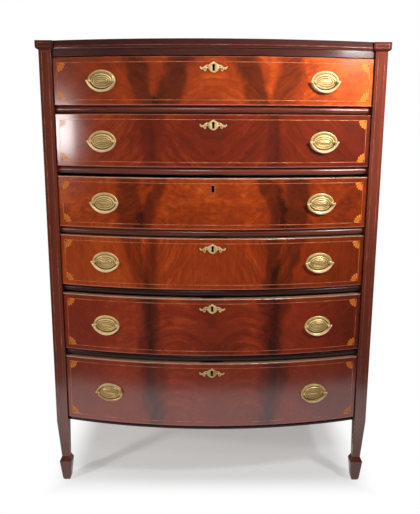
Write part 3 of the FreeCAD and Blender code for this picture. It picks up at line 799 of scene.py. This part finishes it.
def raised(number, side, pulls):
    """Turn of the one bail that leans back on the upper rim of its plate."""
    if (number, side) != (6, "left"):
        return Matrix.Identity(4)
    turn = math.radians(max(abs(limit) for limit in bail_joint(number, side)["range_deg"]))
    hinge = moved(0, -pulls.reach, 0)
    return hinge @ turned(-turn, "X") @ hinge.inverted()


# Right half of the outline of an escutcheon, in millimetres, from the peak round to the foot
ESCUTCHEON_OUTLINE = (
    (0.0, 14.9), (2.2, 12.6), (5.5, 11.2), (9.5, 9.2), (12.6, 6.6), (15.0, 6.4), (18.0, 6.4), (21.5, 5.0),
    (24.5, 2.4), (27.5, 0.2), (31.0, -0.4), (33.6, 0.6), (36.0, 2.6), (36.8, 0.0), (35.2, -2.8),
    (32.0, -4.6), (28.5, -4.4), (26.2, -5.6), (24.2, -9.0), (21.4, -8.8), (19.8, -5.6), (19.6, -2.6),
    (17.8, -1.2), (15.4, -1.6), (13.4, -3.4), (12.0, -6.0), (8.6, -9.6), (4.2, -12.2), (0.0, -13.0))
KEYHOLE_OUTLINE = ((0.0, 9.2), (3.4, 8.0), (4.3, 4.8), (3.6, 1.4), (3.5, -4.6), (3.8, -8.6), (0.0, -9.2))
RING_OUTLINE = ((0.0, 12.0), (6.6, 10.0), (11.0, 0.0), (7.2, -8.8), (0.0, -12.0))
RING_HOLE = ((0.0, 10.3), (5.0, 8.4), (7.4, 0.0), (5.2, -7.6), (0.0, -10.2))
# Openings in the right arm of an escutcheon
ARM_HOLES = (((13.6, 4.0), (17.0, 4.5), (19.4, 2.8), (17.6, 1.4), (14.6, 1.2)),
             ((21.2, -1.2), (23.8, -1.8), (24.8, -4.6), (22.6, -6.8), (21.2, -4.4)),
             ((26.4, -1.6), (30.6, -2.0), (33.0, -1.2), (30.4, -3.4), (27.2, -3.2)))
LIP_OUTLINE = ((0.0, 12.0), (5.4, 10.4), (6.6, 0.0), (5.4, -10.6), (0.0, -12.4))
LIP_HOLE = ((0.0, 9.8), (3.4, 8.4), (4.3, 4.0), (4.3, -4.0), (3.4, -8.4), (0.0, -9.8))
# How far the ring round the keyhole stands over its plate
RING_LIFT = 0.0010
BARE_KEYHOLE = 3


def flat_plate(halves, thickness, edge, openings=()):
    """Plate cut to outlines in millimetres, given as right halves, with openings on both sides."""
    loops = [list(half) + [(-x, y) for x, y in reversed(half[1:-1])] for half in halves]
    for opening in openings:
        loops += [list(opening), [(-x, y) for x, y in reversed(opening)]]
    curve = bpy.data.curves.new("outline", "CURVE")
    curve.dimensions = "2D"
    curve.fill_mode = "BOTH"
    curve.extrude = thickness / 2 - edge
    curve.bevel_depth = edge
    curve.bevel_resolution = 2
    curve.resolution_u = 5
    for points in loops:
        spline = curve.splines.new("BEZIER")
        spline.use_cyclic_u = True
        spline.bezier_points.add(len(points) - 1)
        for knot, (x, y) in zip(spline.bezier_points, points):
            knot.co = (x / 1000, y / 1000, 0)
            knot.handle_left_type = knot.handle_right_type = "AUTO"
    holder = put_in_scene("outline", curve)
    bpy.context.view_layer.update()
    data = bpy.data.meshes.new_from_object(holder.evaluated_get(bpy.context.evaluated_depsgraph_get()))
    mesh = bmesh.new()
    mesh.from_mesh(data)
    bpy.data.objects.remove(holder)
    bpy.data.curves.remove(curve)
    bpy.data.meshes.remove(data)
    lift = moved(0, -thickness / 2, 0) @ turned(RIGHT_ANGLE, "X")
    bmesh.ops.transform(mesh, matrix=lift, verts=mesh.verts)
    close_up(mesh)
    return mesh


# Pockets of a lock case, for its bolt from above and for the key from the front
BOLT_POCKET = (0.0226, 0.0066)
BOLT_POCKET_DEPTH = 0.038
KEY_POCKET = (0.0100, 0.0220)
KEY_POCKET_DEPTH = 0.0020


def sink(mesh, face, size, place, depth):
    """Sink a pocket of a given size into a face, and give its faces."""
    bmesh.ops.inset_region(mesh, faces=[face], thickness=0.001, use_even_offset=True)
    spans = [max(vert.co[axis] for vert in face.verts) - min(vert.co[axis] for vert in face.verts)
             for axis in range(3)]
    sizes = iter(size)
    scale = [next(sizes) / span if span > 1e-6 else 1 for span in spans]
    centre = face.calc_center_median()
    bmesh.ops.scale(mesh, vec=scale, verts=face.verts, space=Matrix.Translation(-centre))
    bmesh.ops.translate(mesh, vec=place - centre, verts=face.verts)
    floor = bmesh.ops.extrude_discrete_faces(mesh, faces=[face])["faces"][0]
    bmesh.ops.translate(mesh, vec=depth, verts=floor.verts)
    return [floor, *{near for edge in floor.edges for near in edge.link_faces}]


# Steps that dress the chest

class CHEST_OT_woodwork(bpy.types.Operator):
    """Give the case and the drawers their woods"""
    bl_idname = "chest.woodwork"
    bl_label = "Finish the woodwork"

    def execute(self, context):
        colours = context.scene.chest_colours
        light, dark = colours.post_light, colours.post_dark
        rail_light, rail_dark = colours.rail_light, colours.rail_dark
        softwood = colours.pine_light, colours.pine_dark
        low, high = node_box("back_boards")
        stack = (low.z, (high.z - low.z + BACK_BOARD_GAP) / BACK_BOARDS)
        boards = pine("pine_boards", *softwood, "X")
        strips = pine("pine_strips", *softwood, "Y")
        steel = steel_finish("lock_steel", colours.steel)
        post = polished_wood("mahogany_posts", mix_linear(light, dark, 0.10), dark, "Z", 0.22)
        faded = mix_linear(rail_light, rail_dark, 0.3)
        ruddy = mix_linear(rail_light, light, 0.2)
        shadow = mix_linear(rail_dark, dark, 0.7)
        finishes = {
            "top_board": polished_wood("mahogany_top", faded, rail_dark, "X", 0.56, 0.02, 0.40),
            "post_caps": polished_wood("mahogany_caps", ruddy, rail_dark, "X", 0.52, 0.04, 0.40),
            "frieze_rail": polished_wood("mahogany_rails", rail_light, rail_dark, "X", 0.20),
            # The low dividers get painted shade
            "drawer_dividers": polished_wood(
                "mahogany_dividers", light, shadow, "X", 0.30, haze=0.24, worn=(0.60, 0.92)),
            "side_panels": polished_wood("mahogany_panels", light, dark, "Z", 0.26),
            "back_boards": pine("pine_back", *softwood, "X", stack),
            "drawer_runners": strips,
            "drawer_stops": boards,
        }
        for place in ("front_left", "front_right", "rear_left", "rear_right"):
            finishes[f"{place}_post"] = post
        for number in DRAWERS:
            low, high = node_box(f"drawer_{number}_front")
            drawer = {"front": flame_mahogany(number, low.z, high.z), "sides": strips, "back": boards,
                      "bottom": boards, "lock_bolt": steel}
            for part, material in drawer.items():
                finishes[f"drawer_{number}_{part}"] = material
        for node, material in finishes.items():
            data = frame["nodes"][node].data
            data.materials.clear()
            data.materials.append(material)
        return {"FINISHED"}


class CHEST_OT_stringing(bpy.types.Operator):
    """Inlay a string round each drawer front"""
    bl_idname = "chest.stringing"
    bl_label = "Inlay the strings"

    def execute(self, context):
        inlay = context.scene.chest_inlay
        width, proud = inlay.string_width, inlay.proud
        finish = string_finish("string_inlay", context.scene.chest_colours.string)
        for _, body, low, high, mesh in drawers():
            half = high.x - inlay.string_inset
            foot, head = low.z + inlay.string_drop, high.z - inlay.string_drop
            for z in (foot, head):
                sweep_bow(mesh, half, string_section(z, width, proud))
            for sign in SIGNS:
                let_in(mesh, width, head - foot, proud, seat_on_bow(sign * half, (low.z + high.z) / 2))
            close_up(mesh)
            make_piece(f"{body}_stringing", mesh, [finish], body)
        return {"FINISHED"}


# Strung panels of posts and caps stop short of their ends, and a line of painted highlight runs along the
# lower arris of the top's front
PANEL_MARGIN = 0.0060
CAP_PANEL_FOOT = 0.0070
TOP_HIGHLIGHT_HEIGHT = 0.0032
# Section of the mould under the top: distances in front of the drawers, and heights from the top's underside
MOULD_SECTION = ((-0.0014, 0), (0.0044, 0), (0.0044, -0.0014), (0.0036, -0.0030), (0.0018, -0.0042),
                 (-0.0014, -0.0046))


class CHEST_OT_case_trim(bpy.types.Operator):
    """Inlay the posts and caps, and run a line of painted highlight and a small mould along the top"""
    bl_idname = "chest.case_trim"
    bl_label = "Trim the case"

    def execute(self, context):
        inlay = context.scene.chest_inlay
        colours = context.scene.chest_colours
        width, proud = inlay.case_string_width, inlay.proud
        finish = string_finish("case_string", colours.case_string)
        low, high = node_box("post_caps")
        _, frieze_high = node_box("frieze_rail")
        strings = bmesh.new()
        for middle in (low.x + inlay.cap_width / 2, high.x - inlay.cap_width / 2):
            post = (inlay.post_panel / 2, low.y + inlay.cap_overhang, inlay.post_panel_foot, low.z)
            cap = (inlay.cap_panel / 2, low.y, low.z + CAP_PANEL_FOOT, high.z)
            for half, y, foot, head in (post, cap):
                first = Vector((middle - half, y, foot))
                string_frame(strings, first, Vector((middle + half, y, head - PANEL_MARGIN)), width, proud)
        span = -low.x - inlay.cap_width
        # This line is a painted highlight of the top's lower arris, made like a string
        line = string_section(frieze_high.z + TOP_HIGHLIGHT_HEIGHT, width, proud, inlay.top_overhang)
        sweep_bow(strings, span, line)
        close_up(strings)
        make_piece("case_strings_and_highlight", strings, [finish], "case")
        mould = bmesh.new()
        sweep_bow(mould, span, [(out, frieze_high.z + height) for out, height in MOULD_SECTION])
        close_up(mould)
        wood = polished_wood("mahogany_mould", mix_linear(colours.post_light, colours.rail_dark, 0.3),
                             colours.rail_dark, "X", 0.20)
        make_piece("top_mould", mould, [wood], "case")
        return {"FINISHED"}


class CHEST_OT_fans(bpy.types.Operator):
    """Inlay a quarter fan in each corner of each drawer front"""
    bl_idname = "chest.fans"
    bl_label = "Inlay the corner fans"

    def execute(self, context):
        inlay = context.scene.chest_inlay
        colours = context.scene.chest_colours
        finishes = [petal_finish("fan_petals", colours.boxwood, colours.scorch),
                    string_finish("fan_eyes", srgb(46, 20, 12))]
        edge = inlay.string_width / 2
        for _, body, low, high, mesh in drawers():
            half = high.x - inlay.string_inset - edge
            mesh.loops.layers.uv.new("petal")
            for sign in SIGNS:
                for z, up in ((low.z + inlay.string_drop, 1), (high.z - inlay.string_drop, -1)):
                    corner = seat_on_bow(sign * half, z + up * edge)
                    add_fan(mesh, corner @ Matrix.Diagonal((-sign, 1, up, 1)), inlay)
            bmesh.ops.recalc_face_normals(mesh, faces=mesh.faces)
            make_piece(f"{body}_corner_fans", mesh, finishes, body)
        return {"FINISHED"}


class CHEST_OT_oval_plates(bpy.types.Operator):
    """Make the ringed oval backplates of the pulls"""
    bl_idname = "chest.oval_plates"
    bl_label = "Make the oval plates"

    def execute(self, context):
        pulls = context.scene.chest_pulls
        brass, tarnish = context.scene.chest_colours.brass, context.scene.chest_colours.tarnish
        # The third finish is near black, painted shadow of the bail in the lower part of the outer groove
        finishes = [brass_finish("plate_brass", mix_linear(brass, srgb(255, 226, 176), 0.15), tarnish, 0.32),
                    brass_finish("plate_groove_brass", mix_linear(brass, tarnish, 0.8), tarnish, 0.30),
                    brass_finish("plate_groove_painted_shadow", srgb(50, 29, 12), tarnish, 0.10, metal=0.2)]
        for number, body, _, _, mesh in drawers():
            add_copies(mesh, oval_plate(pulls), pull_places(number).values())
            make_piece(f"{body}_oval_plates", mesh, finishes, body, [f"{body}_brasses"], crease=60)
        return {"FINISHED"}


class CHEST_OT_bail_posts(bpy.types.Operator):
    """Make the posts that carry the bails, with their nuts"""
    bl_idname = "chest.bail_posts"
    bl_label = "Make the bail posts"

    def execute(self, context):
        pulls = context.scene.chest_pulls
        colours = context.scene.chest_colours
        finish = brass_finish("post_brass", colours.brass, colours.tarnish, 0.3)
        for number, body, _, _, mesh in drawers():
            places = [seat @ moved(sign * pulls.spacing / 2, 0, 0)
                      for seat in pull_places(number).values() for sign in SIGNS]
            for shape in (bead(pulls), shank(pulls), nut()):
                add_copies(mesh, shape, places)
            make_piece(f"{body}_bail_posts", mesh, [finish], body)
        return {"FINISHED"}


class CHEST_OT_bails(bpy.types.Operator):
    """Make the bails, which swing on their posts"""
    bl_idname = "chest.bails"
    bl_label = "Make the bails"

    def execute(self, context):
        pulls = context.scene.chest_pulls
        colours = context.scene.chest_colours
        # The bails are painted paler than the plates, as highlight
        finish = brass_finish("bail_brass_painted_highlight", mix_linear(colours.brass, srgb(255, 226, 180), 0.8),
                              colours.tarnish, 0.12, 0.40, 0.70)
        for number in DRAWERS:
            for side, place in pull_places(number).items():
                mesh = bmesh.new()
                add_copies(mesh, bail(pulls), [place @ raised(number, side, pulls)])
                name = f"drawer_{number}_{side}_bail"
                make_piece(f"{name}_bow", mesh, [finish], name, [name], crease=60)
        return {"FINISHED"}


class CHEST_OT_escutcheons(bpy.types.Operator):
    """Make the scrolled keyhole plates, and the lip of the bare keyhole"""
    bl_idname = "chest.escutcheons"
    bl_label = "Make the escutcheons"

    def execute(self, context):
        colours = context.scene.chest_colours
        finish = brass_finish("escutcheon_brass", mix_linear(colours.brass, srgb(255, 226, 176), 0.35),
                              colours.tarnish, 0.5, 0.40, 0.55)
        lip = string_finish("keyhole_lip", srgb(124, 66, 56))
        for number, body, _, high, mesh in drawers():
            seat = seat_on_bow(0, high.z - context.scene.chest_locks.keyhole_drop)
            if number == BARE_KEYHOLE:
                add_copies(mesh, flat_plate([LIP_OUTLINE, LIP_HOLE], 0.0008, 0.0003), [seat])
                make_piece(f"{body}_keyhole_lip", mesh, [lip], body)
                continue
            plate = flat_plate([ESCUTCHEON_OUTLINE, KEYHOLE_OUTLINE], 0.0016, 0.0005, ARM_HOLES)
            add_copies(mesh, plate, [seat])
            ring = flat_plate([RING_OUTLINE, RING_HOLE], 0.0022, 0.0010)
            add_copies(mesh, ring, [seat @ moved(0, -RING_LIFT, 0)])
            make_piece(f"{body}_escutcheon", mesh, [finish], body)
        return {"FINISHED"}


class CHEST_OT_lock_cases(bpy.types.Operator):
    """Make the lock cases behind the drawer fronts"""
    bl_idname = "chest.lock_cases"
    bl_label = "Make the lock cases"

    def execute(self, context):
        locks = context.scene.chest_locks
        # The second finish is near black, painted shade inside the lock
        finishes = [steel_finish("lock_case_steel", context.scene.chest_colours.steel),
                    steel_finish("lock_pocket_shade", srgb(16, 12, 10))]
        back = BOW_CENTRE - BOW_RADIUS + FRONT_THICKNESS
        for _, body, _, high, mesh in drawers():
            middle = Vector((0, back - locks.case_depth / 2, high.z - locks.case_height / 2))
            bar(mesh, (locks.case_width, locks.case_depth, locks.case_height), moved(*middle))
            top = max(mesh.faces, key=lambda face: face.calc_center_median().z)
            front = min(mesh.faces, key=lambda face: face.calc_center_median().y)
            mouth = Vector((0, middle.y, high.z))
            sink(mesh, top, BOLT_POCKET, mouth, Vector((0, 0, -BOLT_POCKET_DEPTH)))
            keyhole = Vector((0, middle.y - locks.case_depth / 2, high.z - locks.keyhole_drop))
            # Faces of the key pocket get the painted shade
            for face in sink(mesh, front, KEY_POCKET, keyhole, Vector((0, KEY_POCKET_DEPTH, 0))):
                face.material_index = 1
            make_piece(f"{body}_lock_case", mesh, finishes, body)
        return {"FINISHED"}


# Lamps: place, target, width, height, power, spread in degrees, and whether reflections show the lamp
LAMPS = {
    "left_softbox": ((-1.95, -1.66, 1.063), (-0.2, -0.2, 0.90), 0.46, 0.26, 6.4, 180, True),
    "right_softbox": ((1.20, -1.10, 1.64), (0.3, -0.2, 1.15), 0.26, 0.36, 4.2, 110, True),
    "right_key": ((1.20, -1.10, 1.70), (0.3, -0.2, 1.1), 0.16, 0.16, 4.0, 120, False),
    "corner_lamp": ((1.15, -1.05, 1.85), (0.44, -0.2, 1.27), 0.20, 0.20, 4.4, 50, False),
    "front_lamp": ((-0.24, -2.45, 2.25), (0, -0.2, 0.80), 0.34, 0.34, 8, 180, True),
    "overhead_softbox": ((0, -0.3, 3.20), (0, -0.1, 0), 2.4, 2.0, 32, 180, False),
    "left_key": ((-1.95, -1.66, 1.25), (0.0, -0.2, 0.70), 0.20, 0.20, 22, 180, False),
    "front_fill": ((0, -4.2, 1.6), (0, 0, 0.7), 3.0, 2.0, 5, 180, False),
}
# Camera of the photograph, its angles in degrees
CAMERA_PLACE = (-0.016, -2.006, 1.120)
CAMERA_PAN = -0.29
CAMERA_TILT = 12.17
CAMERA_ROLL = 0.28
SENSOR_WIDTH = 36
# Half of the width of the floor, and the plan of the chest, inside which the floor keeps its shade
FLOOR_HALF = 9
PLAN_HALF_WIDTH = 0.45
PLAN_HALF_DEPTH = 0.25
PLAN_MIDDLE = 0.03


def add_floor():
    """Pale floor that keeps the shadow and runs out to white."""
    material, shade = new_shade("studio_floor")
    x, y, _ = shade.axes()
    glossy = shade.rays("Glossy")
    wide = abs(x) - PLAN_HALF_WIDTH
    deep = abs(y - PLAN_MIDDLE) - PLAN_HALF_DEPTH
    outside = wide.math("MAXIMUM", deep).step(-0.05, 0.08)
    reach = distance(x, y - BOW_CENTRE)
    room = reach.step(2.29, 2.35)
    paper = shade.add("ShaderNodeBsdfDiffuse", None,
                      {"Color": shade.mix(room * glossy, (0.93, 0.93, 0.93), (0.05, 0.05, 0.05))})
    white = shade.add("ShaderNodeEmission", None, {"Color": (1, 1, 1), "Strength": 1.0})
    seen = shade.rays("Camera") + glossy * (1 - room) * reach.step(1.73, 1.91)
    shader = shade.add("ShaderNodeMixShader", None,
                       {0: (outside * 0.65 + 0.35) * seen, 1: paper, 2: white})
    shade.add("ShaderNodeOutputMaterial", None, {"Surface": shader})
    mesh = bmesh.new()
    bmesh.ops.create_grid(mesh, x_segments=8, y_segments=8, size=FLOOR_HALF)
    floor = put_in_scene("studio_floor", mesh_data("studio_floor", mesh))
    floor.data.materials.append(material)
    floor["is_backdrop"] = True


def add_room(scene):
    """White behind the chest, a dim room in front of it, and a little light from all round."""
    settings = scene.chest_stage
    scene.world = bpy.data.worlds.new("studio")
    shade = Shade(scene.world)
    camera, glossy, clear = [shade.rays(kind) for kind in ("Camera", "Glossy", "Transmission")]
    direction = shade.add("ShaderNodeTexCoord", output="Generated")
    behind = shade.split(direction, "Y").step(-0.05, 0.25)
    above = shade.split(direction, "Z").step(0.50, 0.92)
    room = above * (settings.ceiling - settings.room) + settings.room
    seen = camera + clear + glossy * (behind * (1 - room) + room)
    other = 1 - camera - clear - glossy
    background = shade.add("ShaderNodeBackground", None,
                           {"Color": (1, 1, 1), "Strength": seen + other * settings.ambient})
    shade.add("ShaderNodeOutputWorld", None, {"Surface": background})


def add_lamp(name, place, target, width, height, power, spread, reflected):
    """Area lamp that faces its target."""
    light = bpy.data.lights.new(name, "AREA")
    light.shape = "RECTANGLE"
    light.size = width
    light.size_y = height
    light.energy = power
    light.spread = math.radians(spread)
    lamp = put_in_scene(name, light)
    lamp.location = place
    lamp.visible_glossy = reflected
    lamp.visible_camera = False
    lamp.rotation_euler = (Vector(target) - Vector(place)).to_track_quat("-Z", "Y").to_euler()


def add_camera(scene):
    data = bpy.data.cameras.new("photo_camera")
    data.sensor_width = SENSOR_WIDTH
    data.lens = scene.chest_stage.lens
    camera = put_in_scene("photo_camera", data)
    camera.matrix_world = (moved(*CAMERA_PLACE) @ turned(math.radians(CAMERA_PAN), "Z")
                           @ turned(math.radians(90 - CAMERA_TILT), "X")
                           @ turned(math.radians(CAMERA_ROLL), "Z"))
    scene.camera = camera


class CHEST_OT_stage(bpy.types.Operator):
    """Set up the floor, the lights and the camera"""
    bl_idname = "chest.stage"
    bl_label = "Set the stage"

    def execute(self, context):
        context.scene.view_settings.view_transform = "Standard"
        add_floor()
        add_room(context.scene)
        for name, settings in LAMPS.items():
            add_lamp(name, *settings)
        add_camera(context.scene)
        return {"FINISHED"}


class CHEST_PT_builder(bpy.types.Panel):
    """Steps that dress the chest"""
    bl_label = "Bow front chest"
    bl_idname = "CHEST_PT_builder"
    bl_space_type = "VIEW_3D"
    bl_region_type = "UI"
    bl_category = "Chest"

    def draw(self, context):
        for operator in OPERATORS:
            self.layout.operator(operator.bl_idname)
        for name in GROUPS:
            box = self.layout.box()
            group = getattr(context.scene, name)
            for key in group.__annotations__:
                box.prop(group, key)


GROUPS = {"chest_inlay": InlaySizes, "chest_pulls": PullSizes, "chest_locks": LockSizes,
          "chest_colours": FinishColours, "chest_stage": StageSettings}
OPERATORS = (CHEST_OT_woodwork, CHEST_OT_stringing, CHEST_OT_case_trim, CHEST_OT_fans, CHEST_OT_oval_plates,
             CHEST_OT_bail_posts, CHEST_OT_bails, CHEST_OT_escutcheons, CHEST_OT_lock_cases, CHEST_OT_stage)
CLASSES = (*GROUPS.values(), *OPERATORS, CHEST_PT_builder)


def register():
    for item in CLASSES:
        bpy.utils.register_class(item)
    for name, group in GROUPS.items():
        setattr(bpy.types.Scene, name, PointerProperty(type=group))


def unregister():
    for name in GROUPS:
        delattr(bpy.types.Scene, name)
    for item in reversed(CLASSES):
        bpy.utils.unregister_class(item)


def corners(bounds):
    return [list(corner) for corner in bounds]


def main():
    cad = corners(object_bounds())
    register()
    for operator in OPERATORS:
        group, name = operator.bl_idname.split(".")
        getattr(getattr(bpy.ops, group), name)()
    {"cad": cad, "visual": corners(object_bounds())}


if __name__ == "__main__":
    main()
